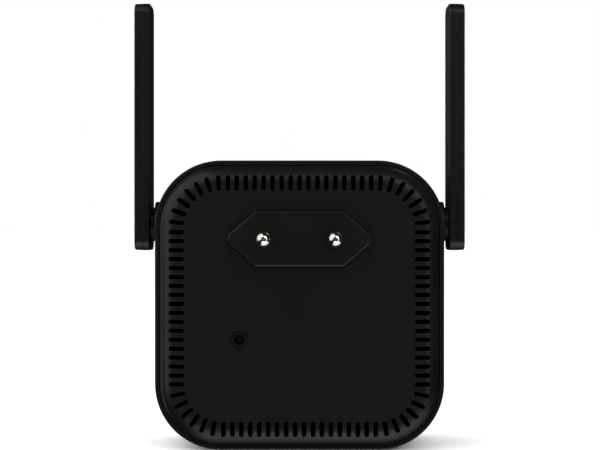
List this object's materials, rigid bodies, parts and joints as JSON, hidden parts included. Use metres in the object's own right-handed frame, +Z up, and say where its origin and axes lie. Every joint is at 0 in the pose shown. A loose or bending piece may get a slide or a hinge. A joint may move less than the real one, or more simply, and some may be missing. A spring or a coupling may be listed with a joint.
{
  "type": "wifi range extender",
  "caption": "Plug-in wifi range extender: rounded square case with vent slots round its back, a round-pin mains plug, a recessed reset hole and a turning flat antenna on each side.",
  "frame": {"origin": "middle of the plug face that meets the wall socket, midway between the pins", "axes": "+Z up along the raised antennas, +Y out of the back along the pins, front of the case towards -Y, X across the case"},
  "size_m": [0.0914, 0.0601, 0.1227],
  "materials": {
    "antenna_black": "black moulded plastic, smooth satin",
    "board_green": "glass-epoxy board with green solder mask",
    "can_tin": "tin-plated sheet",
    "capacitor_blue": "blue dipped ceramic",
    "capacitor_sleeve": "dark blue shrink sleeve",
    "case_black": "black moulded plastic, fine satin texture",
    "chip_black": "moulded black chip",
    "crystal_steel": "metal-lidded crystal",
    "ferrite": "dark grey ferrite",
    "fuse_brown": "brown coated body",
    "header_black": "black header block",
    "hinge_black": "black acetal, smooth",
    "lamp_white": "surface lamp with phosphor",
    "lead_grey": "thin grey-black coaxial jacket",
    "light_pipe_clear": "clear acrylic rod",
    "link_tin": "gold-flashed square pins",
    "optocoupler_white": "white moulded package",
    "pad_grey": "soft grey silicone",
    "pin_nickel": "bright nickel plate on brass",
    "plug_black": "black heat-resistant plastic, satin",
    "power_board_tan": "bare tan composite board",
    "radiator_copper": "copper track on a thin board",
    "screw_steel": "zinc-plated screws",
    "sleeve_black": "black insulating sleeve",
    "socket_brass": "gold-plated press-on connector",
    "spreader_aluminium": "plain aluminium plate",
    "spring_steel": "spring steel",
    "stem_black": "black plunger",
    "switch_black": "switch body with black cover",
    "tape_yellow": "yellow polyester tape",
    "terminal_tin": "tinned spring strip"
  },
  "bodies": {
    "housing": {"aerial_socket_left": "socket_brass", "aerial_socket_right": "socket_brass", "antenna_lead_left": "lead_grey", "antenna_lead_right": "lead_grey", "bridge_rectifier": "chip_black", "bulk_capacitors": "capacitor_sleeve", "clock_crystal": "crystal_steel", "front_shell": "case_black", "fuse": "fuse_brown", "heat_spreader": "spreader_aluminium", "light_pipe": "light_pipe_clear", "link_header": "header_black", "link_pins": "link_tin", "main_board": "board_green", "main_board_screws": "screw_steel", "memory_chip": "chip_black", "noise_choke": "ferrite", "optocoupler": "optocoupler_white", "output_capacitor": "capacitor_sleeve", "output_diode": "chip_black", "pin_sleeve_left": "sleeve_black", "pin_sleeve_right": "sleeve_black", "pin_terminal_left": "terminal_tin", "pin_terminal_right": "terminal_tin", "plug_block": "plug_black", "plug_pin_left": "pin_nickel", "plug_pin_right": "pin_nickel", "power_board": "power_board_tan", "power_board_screws": "screw_steel", "power_controller": "chip_black", "rear_cover": "case_black", "reset_switch": "switch_black", "safety_capacitor": "capacitor_blue", "shield_can": "can_tin", "status_lamp": "lamp_white", "thermal_pad": "pad_grey", "transformer_core": "ferrite", "transformer_winding": "tape_yellow", "wifi_chip": "chip_black"},
    "antenna_left": {"antenna_inner_left": "antenna_black", "antenna_outer_left": "antenna_black", "antenna_axle_left": "hinge_black", "axle_clip_left": "spring_steel", "friction_washer_left": "spring_steel", "antenna_radiator_left": "radiator_copper"},
    "antenna_right": {"antenna_inner_right": "antenna_black", "antenna_outer_right": "antenna_black", "antenna_axle_right": "hinge_black", "axle_clip_right": "spring_steel", "friction_washer_right": "spring_steel", "antenna_radiator_right": "radiator_copper"},
    "reset_button": {"reset_stem": "stem_black"}
  },
  "joints": [
    {"name": "antenna_left_hinge", "type": "hinge", "parent": "housing", "child": "antenna_left", "pos_m": [-0.0414, -0.0215, 0.0039], "axis": [1, 0, 0], "range_deg": [0, 180]},
    {"name": "antenna_right_hinge", "type": "hinge", "parent": "housing", "child": "antenna_right", "pos_m": [0.0414, -0.0215, 0.0039], "axis": [1, 0, 0], "range_deg": [0, 180]},
    {"name": "reset_press", "type": "slide", "parent": "housing", "child": "reset_button", "axis": [0, -1, 0], "range_m": [0, 0.0003], "stiffness_N_per_m": 2000, "springref_m": -0.0005}
  ]
}
